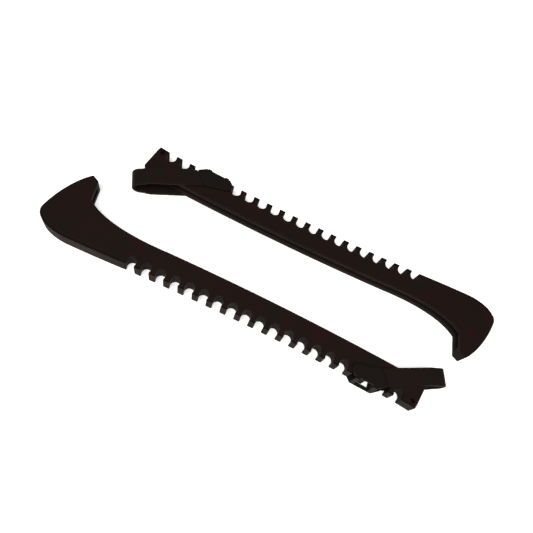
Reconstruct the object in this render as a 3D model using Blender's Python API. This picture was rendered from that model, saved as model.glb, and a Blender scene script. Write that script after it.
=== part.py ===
"""A pair of notched rubber walking guards for hockey skate blades.

Each guard is a long rubber channel with a hooked toe pocket, a notched sole and a
cut-to-length tail. A rubber saddle grips the notched sole and carries a heel strap,
a flat band that passes along both sides of the guard and turns back beyond the tail.
The two guards lie on their sides, head to tail, on the ground.

World frame: +X along the guards, +Z up through their thickness, origin on the ground
under the middle of the pair. Guard frame: x from the notch nearest the toe towards
the tail, y from the sole towards the blade slot's mouth, z from the side that lies
down to the side that faces up.
"""

import math

import bmesh
import bpy
from mathutils import Matrix, Vector

MM = 0.001

# Driving dimensions of a guard
PITCH = 12.5 * MM
NOTCHES = 20
HEIGHT = 1.86 * PITCH
THICKNESS = 15.0 * MM
SLOT_WIDTH = 4.8 * MM
NOTCH_DEPTH = 0.655 * PITCH
NOTCH_RADIUS = 0.34 * PITCH
NOTCH_MOUTH = 0.49 * PITCH
WEB = 2.8 * MM
TAIL_BLOCK = {"front": 1.36 * PITCH, "rear": 1.04 * PITCH}
TAIL_DROP = 0.06 * PITCH
TAIL_LEAN = 0.15 * PITCH
TIE_HOLE_BACK = 0.36 * PITCH
TIE_HOLE_HEIGHT = 0.32 * PITCH
TIE_HOLE_RADIUS = 1.9 * MM
EDGE_CHAMFER = 0.6 * MM
ARCH_RADIUS = 204 * PITCH
ARCH_MIDDLE = 9.5 * PITCH

# Saddle and heel strap
CLEARANCE = 0.3 * MM
SOLE_CLEARANCE = 0.5 * MM
PLATE_THICKNESS = 2.5 * MM
SADDLE_LIP = 0.2 * PITCH
BAR_WIDTH = 3.6 * MM
STRAP_THICKNESS = 2.2 * MM
STRAP_ANGLE = math.radians(29)
STRAP_REACH = 4.06 * PITCH
STRAP_TURN_RADIUS = 0.56 * PITCH
STRAP_STRAIGHT = 0.84
ROOT_GAP = 0.7 * MM

# Where things stand
FRONT_SADDLE_X = 16.8 * PITCH
REAR_SADDLE_X = 15.6 * PITCH
REAR_GUARD_OFFSET = Vector((17.40 * PITCH, 8.73 * PITCH, 0.0))
REAR_GUARD_YAW = math.radians(181.8)
TOE_REACH = 6.5 * PITCH
SADDLE_TOE_END = 14.3 * PITCH

# How finely curves are drawn, and how far cutters run past a surface
NOTCH_STEPS = 7
CURVE_STEPS = 8
SLOT_CURVE_STEPS = 6
HOLE_STEPS = 12
PAST = 2 * MM
TURN_STEPS = 8
ARM_STATIONS = (0.0, 0.35, 0.7, STRAP_STRAIGHT, 0.9, 0.95, 1.0)

# Outline stations, in pitches from the first notch and from the sole
NOSE = (-6.52, 1.50)
SOLE_START = (-4.40, 0.03)
HOOK_FRONT = (-4.87, 4.78)
HOOK_BACK = (-4.42, 4.52)
HOOK_HEEL = (-4.18, 3.11)
RIM_START = (1.80, 1.86)
RIM_STATIONS = (17.0, 14.0, 11.0, 8.0, 5.0)
SLOT_TOP = (-4.80, 4.05)
SLOT_FRONT = (-5.65, 1.95)

# Corners of the saddle's two plates, in pitches from its middle and from the sole
LOWER_PLATE = [
    (1.39, 0.32),
    (0.79, -0.20),
    (-0.79, -0.20),
    (-1.22, 0.18),
    (-1.30, 0.48),
    (-1.10, 0.74),
    (0.47, 1.20),
]
UPPER_PLATE = [
    (1.39, 0.32),
    (0.88, -0.09),
    (-0.92, -0.09),
    (-1.24, 0.20),
    (-1.30, 0.48),
    (-1.10, 0.74),
    (0.47, 1.20),
]
STRAP_ROOT_SOLE = LOWER_PLATE[0]
STRAP_ROOT_MOUTH = LOWER_PLATE[-1]
# Small window in the saddle's lower plate, just inside its sole edge
PLATE_WINDOW = [(-0.38, 0.02), (0.42, 0.02), (0.36, 0.50), (-0.32, 0.50)]

MATERIALS = {
    "guard_rubber": ((0.018, 0.014, 0.013), 0.55),
    "saddle_rubber": ((0.020, 0.016, 0.015), 0.50),
    "strap_rubber": ((0.022, 0.018, 0.017), 0.45),
}


def clear_scene():
    for old in list(bpy.context.scene.objects):
        bpy.data.objects.remove(old, do_unlink=True)


def material(name):
    found = bpy.data.materials.get(name)
    if found:
        return found
    colour, roughness = MATERIALS[name]
    made = bpy.data.materials.new(name)
    made.use_nodes = True
    shader = made.node_tree.nodes["Principled BSDF"]
    shader.inputs["Base Color"].default_value = (*colour, 1.0)
    shader.inputs["Roughness"].default_value = roughness
    shader.inputs["Metallic"].default_value = 0.0
    return made


def scaled(points):
    """Stations in pitches become points in metres."""
    return [Vector((x * PITCH, y * PITCH)) for x, y in points]


def bezier(stations, steps, first=True):
    """Points along the cubic curve that four stations control."""
    p0, p1, p2, p3 = scaled(stations)
    points = []
    for i in range(0 if first else 1, steps + 1):
        t = i / steps
        s = 1 - t
        points.append(s**3 * p0 + 3 * s * s * t * p1 + 3 * s * t * t * p2 + t**3 * p3)
    return points


def arched(point):
    """Bows a point of the straight outline, as the whole guard bows slightly."""
    turn = (point.x - ARCH_MIDDLE) / ARCH_RADIUS
    reach = ARCH_RADIUS + point.y
    return Vector((ARCH_MIDDLE + reach * math.sin(turn), reach * math.cos(turn) - ARCH_RADIUS))


def notch(index):
    """One notch: two short lips and an arc of more than half a circle."""
    middle = index * PITCH
    centre_y = NOTCH_DEPTH - NOTCH_RADIUS
    lip = math.acos(NOTCH_MOUTH / 2 / NOTCH_RADIUS)
    points = [Vector((middle - NOTCH_MOUTH / 2, 0))]
    for i in range(NOTCH_STEPS + 1):
        angle = math.pi + lip - i / NOTCH_STEPS * (math.pi + 2 * lip)
        points.append(
            Vector((
                middle + NOTCH_RADIUS * math.cos(angle),
                centre_y + NOTCH_RADIUS * math.sin(angle),
            ))
        )
    points.append(Vector((middle + NOTCH_MOUTH / 2, 0)))
    return points


def guard_outline(side):
    """Side view of a guard, anticlockwise from the sole under the toe."""
    points = bezier([NOSE, (-6.70, 0.86), (-5.95, 0.16), SOLE_START], CURVE_STEPS)
    points += scaled([(-2.6, -0.02)])
    for index in range(NOTCHES):
        points += notch(index)
    tail = (NOTCHES - 1) * PITCH + TAIL_BLOCK[side]
    points.append(Vector((tail, -TAIL_DROP)))
    points.append(Vector((tail + TAIL_LEAN, HEIGHT)))
    points += [Vector((x * PITCH, HEIGHT)) for x in RIM_STATIONS]
    throat = bezier([HOOK_HEEL, (-3.40, 2.45), (-1.70, 1.76), RIM_START], CURVE_STEPS)
    points += reversed(throat)
    points += scaled([HOOK_BACK])
    front = bezier([HOOK_FRONT, (-5.54, 4.18), (-6.24, 2.82), NOSE], CURVE_STEPS)
    points += front[:-1]
    return [arched(p) for p in points]


def slot_outline():
    """Side view of the space for the blade, open along the rim and the hook."""
    floor = (NOTCH_DEPTH + WEB) / PITCH
    beyond_tail = NOTCHES + 1.5
    front = [SLOT_TOP, (-5.15, 3.45), (-5.60, 2.70), SLOT_FRONT]
    foot = [SLOT_FRONT, (-5.70, 1.20), (-4.30, floor), (-2.20, floor)]
    points = scaled([(beyond_tail, SLOT_TOP[1]), SLOT_TOP])
    points += bezier(front, SLOT_CURVE_STEPS, False)
    points += bezier(foot, SLOT_CURVE_STEPS, False)
    points += scaled([(x, floor) for x in (*reversed(RIM_STATIONS), beyond_tail)])
    return [arched(p) for p in points]


def inset(outline, distance):
    """The outline moved inwards, corner by corner, for an anticlockwise outline."""
    moved = []
    for i, here in enumerate(outline):
        before = (here - outline[i - 1]).normalized()
        after = (outline[(i + 1) % len(outline)] - here).normalized()
        normal = Vector((-before.y - after.y, before.x + after.x)).normalized()
        stretch = max(normal.dot(Vector((-after.y, after.x))), 0.5)
        moved.append(here + normal * distance / stretch)
    return moved


def loft(bm, rings):
    """Joins closed rings of points, in order, and closes both ends."""
    layers = [[bm.verts.new(p) for p in ring] for ring in rings]
    count = len(layers[0])
    for low, high in zip(layers, layers[1:]):
        for i in range(count):
            j = (i + 1) % count
            bm.faces.new((low[i], low[j], high[j], high[i]))
    bm.faces.new(list(reversed(layers[0])))
    bm.faces.new(layers[-1])


def prism(outline, low, high, chamfer=0.0):
    """A mesh of an anticlockwise outline, standing from low to high."""
    bm = bmesh.new()
    if chamfer:
        small = inset(outline, chamfer)
        steps = [(small, low), (outline, low + chamfer), (outline, high - chamfer), (small, high)]
    else:
        steps = [(outline, low), (outline, high)]
    loft(bm, [[Vector((p.x, p.y, z)) for p in ring] for ring, z in steps])
    bmesh.ops.recalc_face_normals(bm, faces=bm.faces)
    mesh = bpy.data.meshes.new("solid")
    bm.to_mesh(mesh)
    bm.free()
    return mesh


def empty(name, parent, matrix):
    made = bpy.data.objects.new(name, None)
    bpy.context.scene.collection.objects.link(made)
    made.parent = parent
    made.matrix_local = matrix
    return made


def add_object(name, mesh, parent, slot=None, origin=(0, 0, 0)):
    """A mesh, given in its parent's frame, becomes an object with its own origin."""
    made = bpy.data.objects.new(name, mesh)
    bpy.context.scene.collection.objects.link(made)
    mesh.transform(Matrix.Translation(-Vector(origin)))
    made.parent = parent
    made.location = origin
    if slot:
        mesh.materials.append(material(slot))
        mesh.shade_smooth()
        mesh.set_sharp_from_angle(angle=math.radians(30))
    return made


def combine(target, tool, operation):
    """Adds a Boolean; a cutter stays as a hidden guide."""
    tool.hide_render = True
    tool.display_type = "WIRE"
    boolean = target.modifiers.new(tool.name, "BOOLEAN")
    boolean.operation = operation
    boolean.object = tool
    boolean.solver = "EXACT"


def circle(centre, radius, steps):
    angles = [2 * math.pi * i / steps for i in range(steps)]
    return [Vector((centre.x + radius * math.cos(a), centre.y + radius * math.sin(a))) for a in angles]


def build_body(side, frame):
    """The rubber channel, cut by the blade slot and by the tie hole in its tail."""
    name = f"{side}_guard_body"
    solid = prism(guard_outline(side), 0, THICKNESS, EDGE_CHAMFER)
    body = add_object(name, solid, frame, "guard_rubber")
    slot_low = (THICKNESS - SLOT_WIDTH) / 2
    slot = prism(slot_outline(), slot_low, slot_low + SLOT_WIDTH)
    combine(body, add_object(name + "_slot_cutter", slot, frame), "DIFFERENCE")
    hole_x = (NOTCHES - 1) * PITCH + TAIL_BLOCK[side] - TIE_HOLE_BACK
    centre = arched(Vector((hole_x, TIE_HOLE_HEIGHT)))
    hole = prism(circle(centre, TIE_HOLE_RADIUS, HOLE_STEPS), -PAST, THICKNESS + PAST)
    combine(body, add_object(name + "_hole_cutter", hole, frame), "DIFFERENCE")
    return body


def box_outline(x_low, x_high, y_low, y_high):
    corners = [(x_low, y_low), (x_high, y_low), (x_high, y_high), (x_low, y_high)]
    return [Vector(c) for c in corners]


def build_saddle(name, frame):
    """Two plates that grip the guard's sides, joined by two bars under the sole."""
    lower_outline = list(reversed(scaled(LOWER_PLATE)))
    upper_outline = list(reversed(scaled(UPPER_PLATE)))
    upper_low = THICKNESS + CLEARANCE
    lower_high = -CLEARANCE
    upper = prism(upper_outline, upper_low, upper_low + PLATE_THICKNESS)
    saddle = add_object(name, upper, frame, "saddle_rubber")
    lower = prism(lower_outline, lower_high - PLATE_THICKNESS, lower_high)
    combine(saddle, add_object(name + "_lower_plate", lower, frame), "UNION")
    edge = LOWER_PLATE[1][0] * PITCH
    sole = -SADDLE_LIP
    overlap = 0.5 * PLATE_THICKNESS
    for side, end in (("toe", -1), ("tail", 1)):
        x_low, x_high = sorted((end * edge, end * (edge - BAR_WIDTH)))
        bar = prism(
            box_outline(x_low, x_high, sole, -SOLE_CLEARANCE),
            lower_high - overlap,
            upper_low + overlap,
        )
        combine(saddle, add_object(f"{name}_{side}_bar", bar, frame), "UNION")
    window_low = lower_high - PLATE_THICKNESS - PAST
    window = prism(scaled(PLATE_WINDOW), window_low, lower_high + CLEARANCE / 2)
    combine(saddle, add_object(name + "_window_cutter", window, frame), "DIFFERENCE")
    return saddle


def strap_path():
    """Middle line of the band: (way along the reach, height over mid-thickness, slope)."""
    flat = THICKNESS / 2 + CLEARANCE + STRAP_THICKNESS / 2
    arm = []
    for way in ARM_STATIONS:
        fall = max(0.0, (way - STRAP_STRAIGHT) / (1 - STRAP_STRAIGHT))
        ease = fall * fall * (3 - 2 * fall)
        arm.append((way, 0.0, flat + (STRAP_TURN_RADIUS - flat) * ease))
    turn = []
    for i in range(1, TURN_STEPS):
        angle = math.pi / 2 - math.pi * i / TURN_STEPS
        turn.append((1.0, STRAP_TURN_RADIUS * math.cos(angle), STRAP_TURN_RADIUS * math.sin(angle)))
    back = [(way, extra, -height) for way, extra, height in reversed(arm)]
    return arm + turn + back


def build_strap(name, frame, hinge):
    """A flat band: along the upper side, round beyond the tail and back underneath."""
    along = Vector((math.cos(STRAP_ANGLE), math.sin(STRAP_ANGLE)))
    root_sole, root_mouth = scaled([STRAP_ROOT_SOLE, STRAP_ROOT_MOUTH])
    middle = (root_sole + root_mouth) / 2
    edges = []
    for root in (root_sole, root_mouth):
        start = root + along * ROOT_GAP
        end = start + along * (STRAP_REACH - (start - middle).dot(along))
        edges.append((start, end))
    path = strap_path()
    flat_path = [Vector((way * STRAP_REACH + extra, height)) for way, extra, height in path]
    bm = bmesh.new()
    rings = []
    for i, (way, extra, height) in enumerate(path):
        step = flat_path[min(i + 1, len(path) - 1)] - flat_path[max(i - 1, 0)]
        step.normalize()
        outward = Vector((-step.y, step.x)) * STRAP_THICKNESS / 2
        ring = []
        for start, end in edges:
            plan = start + (end - start) * way + along * extra
            for sign in (1, -1):
                spot = plan + along * outward.x * sign
                ring.append(Vector((spot.x, spot.y, THICKNESS / 2 + height + outward.y * sign)))
        rings.append([ring[0], ring[1], ring[3], ring[2]])
    loft(bm, rings)
    bmesh.ops.recalc_face_normals(bm, faces=bm.faces)
    mesh = bpy.data.meshes.new(name)
    bm.to_mesh(mesh)
    bm.free()
    return add_object(name, mesh, frame, "strap_rubber", hinge)


def build_guard(side, parent, matrix, saddle_x):
    """One guard with its saddle and strap; names start with what they are."""
    guard = empty(f"{side}_guard_frame", parent, matrix)
    build_body(side, guard)
    place = arched(Vector((saddle_x, 0)))
    turn = (saddle_x - ARCH_MIDDLE) / ARCH_RADIUS
    on_sole = Matrix.Translation((place.x, place.y, 0)) @ Matrix.Rotation(-turn, 4, "Z")
    saddle = empty(f"{side}_saddle_frame", guard, on_sole)
    build_saddle(f"{side}_saddle", saddle)
    root = scaled([STRAP_ROOT_MOUTH])[0]
    build_strap(f"{side}_heel_strap", saddle, (root.x, root.y, THICKNESS / 2))


def lowest_and_highest():
    """Corners of the box round every solid."""
    bpy.context.view_layer.update()
    spots = [
        made.matrix_world @ Vector(corner)
        for made in bpy.context.scene.objects
        if made.type == "MESH" and not made.hide_render
        for corner in made.bound_box
    ]
    low = Vector([min(p[i] for p in spots) for i in range(3)])
    high = Vector([max(p[i] for p in spots) for i in range(3)])
    return low, high


def build():
    clear_scene()
    pair = empty("pair_frame", None, Matrix())
    lift = PLATE_THICKNESS + CLEARANCE
    tilt = math.atan2(lift, TOE_REACH + SADDLE_TOE_END)
    rise = Vector((0, 0, TOE_REACH * math.sin(tilt)))
    tilted = Matrix.Rotation(-tilt, 4, "Y")
    front = Matrix.Translation(rise) @ tilted
    turned = Matrix.Rotation(REAR_GUARD_YAW, 4, "Z")
    rear = Matrix.Translation(REAR_GUARD_OFFSET + rise) @ turned @ tilted
    build_guard("front", pair, front, FRONT_SADDLE_X)
    build_guard("rear", pair, rear, REAR_SADDLE_X)
    low, high = lowest_and_highest()
    middle = (low + high) / 2
    pair.location = (-middle.x, -middle.y, -low.z)
    bpy.context.view_layer.update()


build()
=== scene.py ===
"""A pair of hockey skate blade guards with heel straps, lying head to tail on a pale floor."""

import math

import bmesh
import bpy
from mathutils import Matrix, Vector
from mathutils.geometry import tessellate_polygon


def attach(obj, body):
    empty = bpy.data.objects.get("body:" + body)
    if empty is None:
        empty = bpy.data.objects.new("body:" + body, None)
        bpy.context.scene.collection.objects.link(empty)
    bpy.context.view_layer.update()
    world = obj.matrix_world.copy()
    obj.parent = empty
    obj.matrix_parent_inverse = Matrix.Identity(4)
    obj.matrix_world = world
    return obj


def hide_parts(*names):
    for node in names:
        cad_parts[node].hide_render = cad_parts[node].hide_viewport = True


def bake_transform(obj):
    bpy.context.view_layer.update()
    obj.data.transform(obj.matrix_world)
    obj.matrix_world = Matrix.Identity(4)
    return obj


MM = 0.001

# The guard: x runs from the toe to the tail, y from the sole to the rim, z through the thickness
PITCH = 12.5 * MM
NOTCHES = 20
LAST_NOTCH = (NOTCHES - 1) * PITCH
HEIGHT = 1.86 * PITCH
THICKNESS = 15.0 * MM
SLOT_WIDTH = 4.8 * MM
NOTCH_DEPTH = 0.655 * PITCH
NOTCH_RADIUS = 0.34 * PITCH
NOTCH_MOUTH = 0.57 * PITCH
NOTCH_STEPS = 16
SLOT_FLOOR = NOTCH_DEPTH + 2.8 * MM
TAIL_BLOCK = {"front": 1.36 * PITCH, "rear": 1.04 * PITCH}
TAIL_DROP = 0.06 * PITCH
TAIL_LEAN = 0.15 * PITCH
TIE_HOLE_BACK = 0.36 * PITCH
TIE_HOLE_HEIGHT = 0.32 * PITCH
TIE_HOLE_RADIUS = 1.9 * MM
TIE_HOLE_STEPS = 28
ARCH_RADIUS = 204 * PITCH
ARCH_MIDDLE = 9.5 * PITCH
EDGE_RADIUS = 0.62 * MM
CORNER_RADIUS = 0.9 * MM
MOUTH_RADIUS = 0.7 * MM

# Points of the toe and the slot in notch pitches. The curves have four control points each
TOE_CURVE = [(-6.52, 1.50), (-6.70, 0.86), (-5.95, 0.16), (-4.40, 0.03)]
SOLE_START = [(-3.5, 0.0), (-2.6, -0.02), (-1.4, -0.02)]
THROAT_CURVE = [(-4.18, 3.11), (-3.40, 2.45), (-1.70, 1.76), (1.80, 1.86)]
HOOK_BACK = (-4.42, 4.52)
FRONT_CURVE = [(-4.87, 4.78), (-5.54, 4.18), (-6.24, 2.82), (-6.52, 1.50)]
SLOT_TOP = [(21.5, 4.05), (-4.80, 4.05)]
SLOT_FRONT_CURVE = [(-4.80, 4.05), (-5.15, 3.45), (-5.60, 2.70), (-5.65, 1.95)]
SLOT_TURN = [(-5.65, 1.95), (-5.70, 1.20)]
SLOT_FLOOR_TURN = (-4.30, -2.20)

# The tread along the sole is narrower than the walls above it
TREAD_STEP = 0.75 * MM
STEP_TOP = 0.21 * PITCH
STEP_FOOT = 0.135 * PITCH
GROOVE_DEPTH = 1.0 * MM
GROOVE_WIDTH = 0.7 * MM

# The saddle, with its plate outlines in notch pitches
CLEARANCE = 0.3 * MM
SOLE_CLEARANCE = 0.5 * MM
PLATE_THICKNESS = 2.5 * MM
PLATE_EDGE = 0.55 * MM
PLATE_CORNER = 1.2 * MM
PANEL_BORDER = 1.7 * MM
PANEL_DEPTH = 0.45 * MM
SADDLE_LIP = 0.2 * PITCH
BAR_WIDTH = 3.6 * MM
PLATE_TAIL = [(-1.30, 0.48), (-1.10, 0.74), (0.47, 1.20)]
LOWER_PLATE = [(1.39, 0.32), (0.79, -0.20), (-0.79, -0.20), (-1.22, 0.18), *PLATE_TAIL]
UPPER_PLATE = [(1.39, 0.32), (0.88, -0.09), (-0.92, -0.09), (-1.24, 0.20), *PLATE_TAIL]
PLATE_WINDOW = [(-0.38, 0.02), (0.42, 0.02), (0.36, 0.50), (-0.32, 0.50)]

# The strap
STRAP_THICKNESS = 2.2 * MM
STRAP_ANGLE = math.radians(29)
STRAP_REACH = 3.93 * PITCH
STRAP_TURN_RADIUS = 0.52 * PITCH
STRAP_STRAIGHT = 0.84
STRAP_EDGE = 0.7 * MM
STRAP_GAP = 0.35 * MM

# Where the two guards lie: place, turn about the upright, and the saddle's place along the sole
GUARD_TILT = 0.010769
GUARDS = {
    "front": (Vector((-0.109566, -0.055864, 0.000892)), 0.0, 16.8 * PITCH),
    "rear": (Vector((0.107934, 0.053261, 0.000892)), math.radians(181.8), 15.6 * PITCH),
}

# The camera
CAMERA_LENS = 35.497
CAMERA_SHIFT = (-0.0645, 0.0140)
CAMERA_PLACE = (-0.005914, -0.192429, 0.414826)
CAMERA_AXES = [
    [0.89106, -0.451405, -0.047384],
    [0.387687, 0.81123, -0.437727],
    [0.236032, 0.371671, 0.897858],
]

# Rubbers: the two colours of the flow marks, the range of roughness, how strong the relief is,
# how fine the grain is, and the refractive index. A low index keeps the walls a matt black
RUBBERS = {
    "guard_rubber": {
        "name": "moulded_rubber",
        "dark": (0.0160, 0.0068, 0.0058),
        "light": (0.0085, 0.0080, 0.0066),
        "roughness": (0.40, 0.56),
        "relief": 0.35,
        "grain": 900.0,
        "index": 1.065,
    },
    "saddle_rubber": {
        "name": "saddle_rubber",
        "dark": (0.0108, 0.0070, 0.0062),
        "light": (0.0096, 0.0090, 0.0080),
        "roughness": (0.36, 0.50),
        "relief": 0.3,
        "grain": 1100.0,
        "index": 1.07,
    },
    "strap_rubber": {
        "name": "strap_rubber",
        "dark": (0.0140, 0.0074, 0.0064),
        "light": (0.0092, 0.0084, 0.0070),
        "roughness": (0.36, 0.50),
        "relief": 0.25,
        "grain": 1300.0,
        "index": 1.08,
    },
}
# A much lighter copy of the rubber for the tread faces on the sole: painted light that stands in for the
# bright floor and the front lamp falling on them, over the same random flow marks and dust as the rest
PAINTED_LIT_TREAD = {
    "name": "painted_lit_tread",
    "dark": (0.021, 0.0175, 0.0115),
    "light": (0.048, 0.041, 0.028),
    "roughness": (0.6, 0.85),
    "relief": 0.6,
    "grain": 700.0,
    "index": 1.065,
}
FLOW_SCALE = 62.0
DUST_SCALE = 160.0
DUST_SHARE = 0.45
RELIEF_HEIGHT = 0.6 * MM


# Outlines


def scaled(points):
    return [Vector((x * PITCH, y * PITCH)) for x, y in points]


def bezier(stations, steps, first=True):
    """Points along a curve with four control points in pitches, with or without the first."""
    p0, p1, p2, p3 = scaled(stations)
    points = []
    for i in range(0 if first else 1, steps + 1):
        t = i / steps
        s = 1 - t
        points.append(s**3 * p0 + 3 * s * s * t * p1 + 3 * s * t * t * p2 + t**3 * p3)
    return points


def between(start, end, steps):
    """Points after start and before end on a straight line."""
    return [start.lerp(end, i / steps) for i in range(1, steps)]


def arched(point):
    """Bends a point of the straight guard to the slight bow of the real sole."""
    turn = (point.x - ARCH_MIDDLE) / ARCH_RADIUS
    reach = ARCH_RADIUS + point.y
    return Vector((ARCH_MIDDLE + reach * math.sin(turn), reach * math.cos(turn) - ARCH_RADIUS))


def notch(index):
    """One keyhole notch: most of a circle, open to the sole between two lips."""
    middle = index * PITCH
    centre = Vector((middle, NOTCH_DEPTH - NOTCH_RADIUS))
    lip = math.acos(NOTCH_MOUTH / 2 / NOTCH_RADIUS)
    points = [Vector((middle - NOTCH_MOUTH / 2, 0))]
    for i in range(NOTCH_STEPS + 1):
        angle = math.pi + lip - i / NOTCH_STEPS * (math.pi + 2 * lip)
        points.append(centre + NOTCH_RADIUS * Vector((math.cos(angle), math.sin(angle))))
    points.append(Vector((middle + NOTCH_MOUTH / 2, 0)))
    return points


def mouth_line(side):
    """The open edge of the blade slot, from the tail up, along the rim and up the hook."""
    tail = LAST_NOTCH + TAIL_BLOCK[side]
    high = Vector((tail + TAIL_LEAN, HEIGHT))
    low = Vector((tail, -TAIL_DROP)).lerp(high, 0.5)
    throat = bezier(THROAT_CURVE, 20)
    points = [low, high]
    points += between(high, throat[-1], 18)
    points += reversed(throat)
    points += between(throat[0], scaled([HOOK_BACK])[0], 4)
    return points


def guard_outline(side):
    points = bezier(TOE_CURVE, 20)
    points += scaled(SOLE_START)
    for index in range(NOTCHES):
        points += notch(index)
    points.append(Vector((LAST_NOTCH + TAIL_BLOCK[side], -TAIL_DROP)))
    points += mouth_line(side)
    points += scaled([HOOK_BACK])
    points += bezier(FRONT_CURVE, 24)[:-1]
    return [arched(p) for p in points]


def slot_outline():
    floor = SLOT_FLOOR / PITCH
    points = scaled(SLOT_TOP)
    points += bezier(SLOT_FRONT_CURVE, 14, first=False)
    points += bezier(SLOT_TURN + [(x, floor) for x in SLOT_FLOOR_TURN], 14, first=False)
    points += scaled([(x, floor) for x in range(-1, NOTCHES + 2)])
    return [arched(p) for p in points]


def corner_normals(outline):
    """For each corner of an anticlockwise outline, the inward normal and its stretch."""
    found = []
    for i, here in enumerate(outline):
        before = (here - outline[i - 1]).normalized()
        after = (outline[(i + 1) % len(outline)] - here).normalized()
        normal = Vector((-before.y - after.y, before.x + after.x)).normalized()
        found.append(normal / max(normal.dot(Vector((-after.y, after.x))), 0.5))
    return found


def open_path_normals(path):
    """Unit normals to the right of an open path, stretched at its corners."""
    found = []
    last = len(path) - 1
    for i, here in enumerate(path):
        before = here - path[i - 1] if i else path[1] - here
        after = path[i + 1] - here if i < last else before
        before, after = before.normalized(), after.normalized()
        normal = Vector((before.y + after.y, -before.x - after.x)).normalized()
        found.append(normal / max(normal.dot(Vector((after.y, -after.x))), 0.5))
    return found


def inset(outline, distance):
    return [p + n * distance for p, n in zip(outline, corner_normals(outline))]


def rounded(outline, reference, radius, steps=3, sharp=math.radians(24)):
    """Rounds the corners that are sharp in the reference outline."""
    points = []
    count = len(outline)
    for i in range(count):
        turn = (reference[i] - reference[i - 1]).angle(reference[(i + 1) % count] - reference[i], 0.0)
        here = outline[i]
        if turn < sharp:
            points.append(here)
            continue
        before = here - outline[i - 1]
        after = outline[(i + 1) % count] - here
        reach = min(radius * math.tan(turn / 2), 0.42 * before.length, 0.42 * after.length)
        start = here - before.normalized() * reach
        end = here + after.normalized() * reach
        for k in range(steps + 1):
            t = k / steps
            points.append(start * (1 - t) ** 2 + here * 2 * t * (1 - t) + end * t * t)
    return points


# Meshes


def loft(bm, rings):
    """Skins a row of closed rings and caps both ends."""
    layers = [[bm.verts.new(p) for p in ring] for ring in rings]
    count = len(layers[0])
    for low, high in zip(layers, layers[1:]):
        for i in range(count):
            j = (i + 1) % count
            bm.faces.new((low[i], low[j], high[j], high[i]))
    for ring in (layers[0], layers[-1]):
        for triangle in tessellate_polygon([[v.co for v in ring]]):
            bm.faces.new([ring[i] for i in triangle])


def mesh_from(bm, name):
    bmesh.ops.recalc_face_normals(bm, faces=bm.faces)
    mesh = bpy.data.meshes.new(name)
    bm.to_mesh(mesh)
    bm.free()
    return mesh


def edge_steps(low, high, radius, steps=4):
    """(inset, z) pairs that round both edges of a slab."""
    arc = []
    for i in range(steps + 1):
        angle = math.pi / 2 * i / steps
        arc.append((radius * (1 - math.sin(angle)), radius * (1 - math.cos(angle))))
    return [(d, low + rise) for d, rise in arc] + [(d, high - rise) for d, rise in reversed(arc)]


def slab(name, outline, low, high, edge=0.0, corner=0.0):
    """A slab of an anticlockwise outline with rounded edges and corners."""
    bm = bmesh.new()
    pairs = edge_steps(low, high, edge) if edge else [(0.0, low), (0.0, high)]
    rings = []
    for distance, z in pairs:
        ring = inset(outline, distance) if distance > 1e-7 else list(outline)
        if corner:
            ring = rounded(ring, outline, corner)
        rings.append([Vector((p.x, p.y, z)) for p in ring])
    loft(bm, rings)
    return mesh_from(bm, name)


def swept(name, path, section, outward):
    """A closed section, given as (outward, z), drawn along a path in the guard's plane."""
    bm = bmesh.new()
    rings = []
    for p, n in zip(path, outward):
        rings.append([Vector((p.x + n.x * d, p.y + n.y * d, z)) for d, z in section])
    loft(bm, rings)
    return mesh_from(bm, name)


def add_object(name, data):
    made = bpy.data.objects.new(name, data)
    bpy.context.scene.collection.objects.link(made)
    return made


def boolean(target, tool_mesh, operation="DIFFERENCE"):
    """Cuts or joins a mesh at once, and leaves no helper behind."""
    tool = add_object("tool", tool_mesh)
    step = target.modifiers.new("step", "BOOLEAN")
    step.operation = operation
    step.object = tool
    step.solver = "MANIFOLD"
    graph = bpy.context.evaluated_depsgraph_get()
    result = bpy.data.meshes.new_from_object(target.evaluated_get(graph))
    target.modifiers.clear()
    target.data = result
    bpy.data.objects.remove(tool)


def finish_mesh(obj):
    """Smooth shading that stops at the sharp edges."""
    obj.data.shade_smooth()
    obj.data.set_sharp_from_angle(angle=math.radians(32))
    weighted = obj.modifiers.new("weighted", "WEIGHTED_NORMAL")
    weighted.keep_sharp = True
    weighted.weight = 80


# The guard


def mouth_cutter(side):
    """Rounds the two lips of the blade slot all along its mouth."""
    path = [arched(p) for p in mouth_line(side)]
    path = [p for p in path if p.y < 4.0 * PITCH]
    half = SLOT_WIDTH / 2
    arc = [(-MOUTH_RADIUS - 0.25 * MM, half - 0.02 * MM)]
    for degrees in (15, 35, 55, 72, 90):
        a = math.radians(degrees)
        arc.append((MOUTH_RADIUS * (math.sin(a) - 1), half + MOUTH_RADIUS * (1 - math.cos(a))))
    arc.append((1.0 * MM, half + MOUTH_RADIUS + 0.3 * MM))
    middle = THICKNESS / 2
    section = [(d, middle + w) for d, w in arc] + [(d, middle - w) for d, w in reversed(arc)]
    return swept("mouth_cutter", path, section, open_path_normals(path))


def tread_cutter(upper):
    """Takes the step and the groove out of one side of the sole."""
    path = bezier(TOE_CURVE, 24)[8:]
    path += scaled([(x, 0.0) for x in (-3.0, -1.5, *range(0, NOTCHES + 3, 2))])
    path = [arched(p) for p in path]
    up = [-n for n in open_path_normals(path)]
    below = -0.4 * PITCH
    outside = -0.8 * MM
    groove_top = STEP_FOOT - 0.1 * MM
    section = [
        (STEP_TOP + 0.55 * MM, outside),
        (STEP_TOP, 0.12 * MM),
        (STEP_FOOT, TREAD_STEP * 0.85),
        (groove_top, TREAD_STEP + GROOVE_DEPTH),
        (groove_top - GROOVE_WIDTH, TREAD_STEP + GROOVE_DEPTH),
        (groove_top - GROOVE_WIDTH - 0.2 * MM, TREAD_STEP + 0.1 * MM),
        (0.35 * MM, TREAD_STEP),
        (-0.35 * MM, TREAD_STEP + 0.35 * MM),
        (below, TREAD_STEP + 0.6 * MM),
        (below, outside),
    ]
    if upper:
        section = [(d, THICKNESS - z) for d, z in reversed(section)]
    return swept("tread_cutter", path, section, up)


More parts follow.
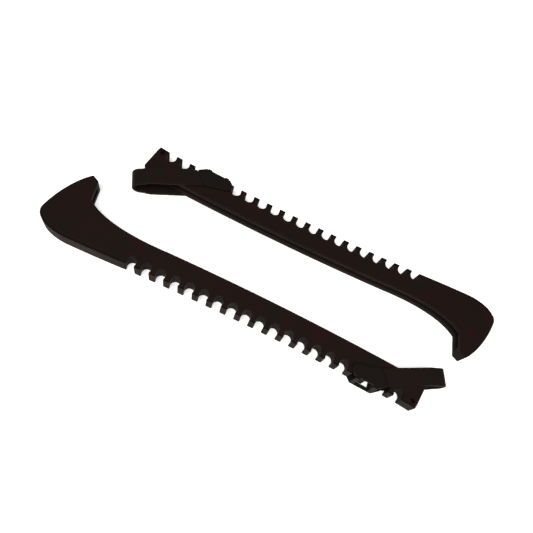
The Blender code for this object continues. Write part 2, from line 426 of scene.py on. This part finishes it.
def tie_hole(side):
    centre = arched(Vector((LAST_NOTCH + TAIL_BLOCK[side] - TIE_HOLE_BACK, TIE_HOLE_HEIGHT)))
    circle = []
    for i in range(TIE_HOLE_STEPS):
        angle = 2 * math.pi * i / TIE_HOLE_STEPS
        circle.append(centre + TIE_HOLE_RADIUS * Vector((math.cos(angle), math.sin(angle))))
    return slab("hole", circle, -2 * MM, THICKNESS + 2 * MM)


def is_tread(face):
    """True for a face of the narrow tread on the sole, in the guard's own frame."""
    middle = face.center
    if face.normal.y > -0.3 or not 0.9 * MM < middle.z < THICKNESS - 0.9 * MM:
        return False
    if middle.x < TOE_CURVE[-1][0] * PITCH:
        return middle.y < TOE_CURVE[0][1] * PITCH
    return middle.y < 0.12 * PITCH


def guard_mesh(side):
    """The guard's body, with the tread's faces in its second material, a lighter copy of the rubber with
    painted light.
    """
    outline = guard_outline(side)
    body = add_object("guard", slab("guard", outline, 0.0, THICKNESS, EDGE_RADIUS, CORNER_RADIUS))
    slot_low = (THICKNESS - SLOT_WIDTH) / 2
    boolean(body, slab("slot", slot_outline(), slot_low, slot_low + SLOT_WIDTH))
    boolean(body, mouth_cutter(side))
    boolean(body, tread_cutter(upper=False))
    boolean(body, tread_cutter(upper=True))
    boolean(body, tie_hole(side))
    mesh = body.data
    for face in mesh.polygons:
        face.material_index = 1 if is_tread(face) else 0
    bpy.data.objects.remove(body)
    return mesh


# The saddle and the strap


def saddle_mesh():
    """Two plates that grip the guard's sides, joined by bars under the sole."""
    upper = list(reversed(scaled(UPPER_PLATE)))
    lower = list(reversed(scaled(LOWER_PLATE)))
    upper_low = THICKNESS + CLEARANCE
    upper_high = upper_low + PLATE_THICKNESS
    lower_high = -CLEARANCE
    lower_low = lower_high - PLATE_THICKNESS
    made = add_object("saddle", slab("upper", upper, upper_low, upper_high, PLATE_EDGE, PLATE_CORNER))
    boolean(made, slab("lower", lower, lower_low, lower_high, PLATE_EDGE, PLATE_CORNER), "UNION")
    panel = inset(upper, PANEL_BORDER)
    boolean(made, slab("panel", panel, upper_high - PANEL_DEPTH, upper_high + 2 * MM, corner=0.9 * MM))
    edge = LOWER_PLATE[1][0] * PITCH
    foot, top = -SADDLE_LIP, -SOLE_CLEARANCE
    overlap = 0.5 * PLATE_THICKNESS
    for end in (-1, 1):
        left, right = sorted((end * edge, end * (edge - BAR_WIDTH)))
        bar = [Vector(c) for c in ((left, foot), (right, foot), (right, top), (left, top))]
        slab_ends = (lower_high - overlap, upper_low + overlap)
        boolean(made, slab("bar", bar, *slab_ends, corner=0.4 * MM), "UNION")
    window = scaled(PLATE_WINDOW)
    boolean(made, slab("window", window, lower_low - 1 * MM, lower_high + 0.2 * MM, corner=0.8 * MM))
    mesh = made.data
    bpy.data.objects.remove(made)
    return mesh


def strap_root():
    """Where the strap leaves the saddle: its sole side, its rim side, their middle, and its way."""
    sole_side, rim_side = scaled([LOWER_PLATE[0], LOWER_PLATE[-1]])
    along = Vector((math.cos(STRAP_ANGLE), math.sin(STRAP_ANGLE)))
    return sole_side, rim_side, (sole_side + rim_side) / 2, along


def strap_line():
    """Middle line of the band: (share of the reach, extra reach, height over mid-thickness)."""
    flat = THICKNESS / 2 + CLEARANCE + STRAP_THICKNESS / 2
    shares = [STRAP_STRAIGHT * i / 16 for i in range(17)]
    shares += [STRAP_STRAIGHT + (1 - STRAP_STRAIGHT) * i / 10 for i in range(1, 11)]
    arm = []
    for share in shares:
        fall = max(0.0, (share - STRAP_STRAIGHT) / (1 - STRAP_STRAIGHT))
        ease = fall * fall * (3 - 2 * fall)
        arm.append((share, 0.0, flat + (STRAP_TURN_RADIUS - flat) * ease))
    turn = []
    steps = 20
    for i in range(1, steps):
        angle = math.pi / 2 - math.pi * i / steps
        turn.append((1.0, STRAP_TURN_RADIUS * math.cos(angle), STRAP_TURN_RADIUS * math.sin(angle)))
    return arm + turn + [(share, extra, -height) for share, extra, height in reversed(arm)]


def band_section():
    """The band's rounded section: (1 on the rim side or 0 on the sole side, shift, half-thicknesses)."""
    corner = []
    for i in range(5):
        angle = math.pi / 2 * i / 4
        drop = (1 - math.sin(angle)) * STRAP_EDGE / (STRAP_THICKNESS / 2)
        corner.append((STRAP_EDGE * (1 - math.cos(angle)), 1 - drop))
    back = corner[::-1]
    points = [(1, -shift, share) for shift, share in corner]
    points += [(0, shift, share) for shift, share in back]
    points += [(0, shift, -share) for shift, share in corner]
    points += [(1, -shift, -share) for shift, share in back]
    return points


def strap_mesh():
    """A band along both sides of the guard that turns back beyond the tail."""
    sole_side, rim_side, middle, along = strap_root()
    edges = []
    for root in (sole_side, rim_side):
        start = root + along * STRAP_GAP
        edges.append((start, start + along * (STRAP_REACH - (start - middle).dot(along))))
    (sole_start, sole_end), (rim_start, rim_end) = edges
    line = strap_line()
    seen_edge_on = [Vector((share * STRAP_REACH + extra, height)) for share, extra, height in line]
    section = band_section()
    last = len(line) - 1
    bm = bmesh.new()
    rings = []
    for i, (share, extra, height) in enumerate(line):
        step = (seen_edge_on[min(i + 1, last)] - seen_edge_on[max(i - 1, 0)]).normalized()
        outward = Vector((-step.y, step.x)) * STRAP_THICKNESS / 2
        low = sole_start.lerp(sole_end, share) + along * extra
        high = rim_start.lerp(rim_end, share) + along * extra
        across = (high - low).normalized()
        ring = []
        for on_rim_side, shift, level in section:
            spot = (high if on_rim_side else low) + across * shift + along * outward.x * level
            ring.append(Vector((spot.x, spot.y, THICKNESS / 2 + height + outward.y * level)))
        rings.append(ring)
    loft(bm, rings)
    return mesh_from(bm, "strap")


# Materials


class Nodes:
    """A short way to write a material's node tree."""

    def __init__(self, name):
        self.material = bpy.data.materials.new(name)
        self.material.use_nodes = True
        self.tree = self.material.node_tree
        self.shader = self.tree.nodes["Principled BSDF"]

    def add(self, kind, inputs=(), **settings):
        made = self.tree.nodes.new(kind)
        for key, value in settings.items():
            setattr(made, key, value)
        for socket, value in dict(inputs).items():
            if isinstance(value, bpy.types.NodeSocket):
                self.tree.links.new(value, made.inputs[socket])
            else:
                made.inputs[socket].default_value = value
        return made

    def noise(self, where, scale, detail, roughness):
        """A noise that runs about 0.3 to 0.7."""
        inputs = {"Vector": where, "Scale": scale, "Detail": detail, "Roughness": roughness}
        return self.add("ShaderNodeTexNoise", inputs).outputs["Fac"]

    def spread(self, value, start, end, to_start=0.0, to_end=1.0):
        inputs = {"Value": value, "From Min": start, "From Max": end, "To Min": to_start, "To Max": to_end}
        return self.add("ShaderNodeMapRange", inputs).outputs["Result"]

    def maths(self, operation, first, second, clamp=False):
        made = self.add("ShaderNodeMath", {0: first, 1: second}, operation=operation, use_clamp=clamp)
        return made.outputs[0]

    def colour_mix(self, share, first, second):
        """A node of this kind lists its colour sockets at 6 and 7, and its colour result at 2."""
        inputs = {0: share, 6: (*first, 1.0), 7: (*second, 1.0)}
        return self.add("ShaderNodeMix", inputs, data_type="RGBA").outputs[2]

    def to_shader(self, socket, value):
        self.tree.links.new(value, self.shader.inputs[socket])


def rubber(name, dark, light, roughness, relief, grain, index):
    """Moulded black rubber: faint flow marks, fine grain, and dusty, scuffed patches."""
    n = Nodes(name)
    where = n.add("ShaderNodeTexCoord").outputs["Object"]
    flow = n.noise(where, FLOW_SCALE, 5.0, 0.62)
    fine = n.noise(where, grain, 3.0, 0.6)
    dust = n.noise(where, DUST_SCALE, 6.0, 0.7)
    patches = n.spread(flow, 0.35, 0.7)
    scuffs = n.maths("MULTIPLY", n.spread(dust, 0.55, 0.75), DUST_SHARE)
    share = n.maths("ADD", patches, scuffs, clamp=True)
    n.to_shader("Base Color", n.colour_mix(share, dark, light))
    n.to_shader("Roughness", n.spread(flow, 0.3, 0.72, *roughness))
    n.shader.inputs["IOR"].default_value = index
    height = n.maths("ADD", n.maths("MULTIPLY", fine, 0.5), flow)
    bump = n.add("ShaderNodeBump", {"Height": height, "Strength": relief, "Distance": RELIEF_HEIGHT})
    n.to_shader("Normal", bump.outputs["Normal"])
    return n.material


def floor_material():
    """A plain pale floor that stays evenly bright."""
    n = Nodes("pale_floor")
    n.shader.inputs["Base Color"].default_value = (0.86, 0.86, 0.855, 1.0)
    n.shader.inputs["Roughness"].default_value = 0.9
    n.shader.inputs["Specular IOR Level"].default_value = 0.0
    n.shader.inputs["Emission Color"].default_value = (1.0, 1.0, 0.985, 1.0)
    n.shader.inputs["Emission Strength"].default_value = 0.5
    return n.material


# The scene


def build_floor(half_size=3.0, steps=6):
    bm = bmesh.new()
    spots = [(i / steps - 0.5) * 2 * half_size for i in range(steps + 1)]
    grid = [[bm.verts.new((x, y, 0.0)) for x in spots] for y in spots]
    for j in range(steps):
        for i in range(steps):
            bm.faces.new((grid[j][i], grid[j][i + 1], grid[j + 1][i + 1], grid[j + 1][i]))
    floor = add_object("floor", mesh_from(bm, "floor"))
    floor.location.z = -0.2 * MM
    floor.data.materials.append(floor_material())


def area_light(name, place, size, energy):
    """A rectangular light that faces the middle of the floor."""
    data = bpy.data.lights.new(name, "AREA")
    data.shape = "RECTANGLE"
    data.size, data.size_y = size
    data.energy = energy
    light = add_object(name, data)
    light.location = place
    light.rotation_euler = (-Vector(place)).to_track_quat("-Z", "Y").to_euler()


def build_lights():
    world = bpy.data.worlds.new("studio")
    world.use_nodes = True
    background = world.node_tree.nodes["Background"]
    background.inputs["Color"].default_value = (1.0, 1.0, 1.0, 1.0)
    background.inputs["Strength"].default_value = 0.05
    bpy.context.scene.world = world
    area_light("key", (-0.35, -0.75, 1.75), (1.3, 0.9), 40.0)
    area_light("side", (1.1, -0.5, 1.3), (1.0, 1.0), 12.0)


def build_camera():
    data = bpy.data.cameras.new("camera")
    data.sensor_width = 36.0
    data.lens = CAMERA_LENS
    data.shift_x, data.shift_y = CAMERA_SHIFT
    data.clip_start, data.clip_end = 0.02, 20
    camera = add_object("camera", data)
    camera.matrix_world = Matrix.Translation(CAMERA_PLACE) @ Matrix(CAMERA_AXES).to_4x4()
    bpy.context.scene.camera = camera


def build_pair():
    materials = {slot: rubber(**settings) for slot, settings in RUBBERS.items()}
    # The tread's material is painted lighter, as if lit by the floor and the front lamp
    tread = rubber(**PAINTED_LIT_TREAD)
    saddle, strap = saddle_mesh(), strap_mesh()
    tilt = Matrix.Rotation(-GUARD_TILT, 4, "Y")
    for side, (place, yaw, saddle_x) in GUARDS.items():
        body = guard_mesh(side)
        guard = Matrix.Translation(place) @ Matrix.Rotation(yaw, 4, "Z") @ tilt
        spot = arched(Vector((saddle_x, 0)))
        turn = (saddle_x - ARCH_MIDDLE) / ARCH_RADIUS
        on_sole = guard @ Matrix.Translation((spot.x, spot.y, 0)) @ Matrix.Rotation(-turn, 4, "Z")
        for name, mesh, matrix, rides, stands_for, finish in (
            (f"{side}_guard", body, guard, f"{side}_guard", f"{side}_guard_body", "guard_rubber"),
            (f"{side}_saddle_plate", saddle, on_sole, f"{side}_saddle", f"{side}_saddle", "saddle_rubber"),
            (f"{side}_strap", strap, on_sole, None, f"{side}_heel_strap", "strap_rubber"),
        ):
            made = add_object(name, mesh.copy())
            made.data.materials.clear()
            made.data.materials.append(materials[finish])
            if mesh is body:
                made.data.materials.append(tread)
            made.data.transform(matrix)
            finish_mesh(made)
            if rides:
                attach(made, rides)
            else:
                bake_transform(made)
            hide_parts(stands_for)


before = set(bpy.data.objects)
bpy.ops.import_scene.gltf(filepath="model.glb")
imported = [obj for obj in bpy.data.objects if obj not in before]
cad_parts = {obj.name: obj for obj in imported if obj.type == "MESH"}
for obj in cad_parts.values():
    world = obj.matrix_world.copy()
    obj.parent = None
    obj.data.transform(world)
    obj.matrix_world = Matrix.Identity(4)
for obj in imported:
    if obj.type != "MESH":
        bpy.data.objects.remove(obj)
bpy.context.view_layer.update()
bpy.context.scene.view_settings.view_transform = "Standard"
build_pair()
build_floor()
build_lights()
build_camera()
